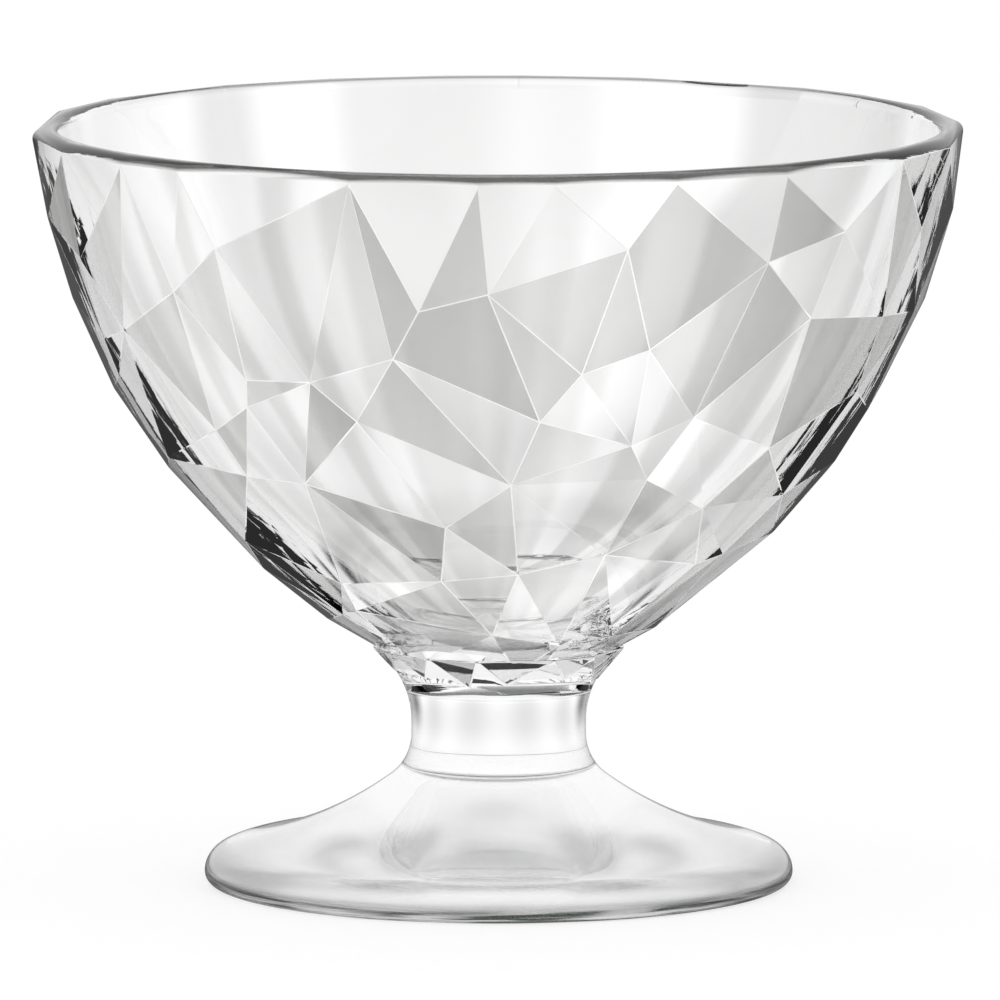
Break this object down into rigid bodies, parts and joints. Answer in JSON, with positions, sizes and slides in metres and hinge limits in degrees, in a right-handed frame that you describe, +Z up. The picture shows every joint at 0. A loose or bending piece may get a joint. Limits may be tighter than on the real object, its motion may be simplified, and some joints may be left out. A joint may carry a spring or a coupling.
{
  "type": "dessert glass",
  "caption": "Footed clear glass dessert bowl: a deep round bowl with flat triangular facets outside and a smooth inside, on a short solid stem and a wide round foot.",
  "frame": {"origin": "centre of the glass in the plane of the table that its foot stands on", "axes": "+Z up along the axis of the bowl, stem and foot; +X to the right as the picture shows it"},
  "size_m": [0.1202, 0.1204, 0.0987],
  "materials": {
    "clear_glass": "clear pressed glass, fire polished, very faint grey-green where it is thick"
  },
  "bodies": {
    "root": {"bowl": "clear_glass", "stem": "clear_glass", "foot": "clear_glass"}
  },
  "joints": []
}
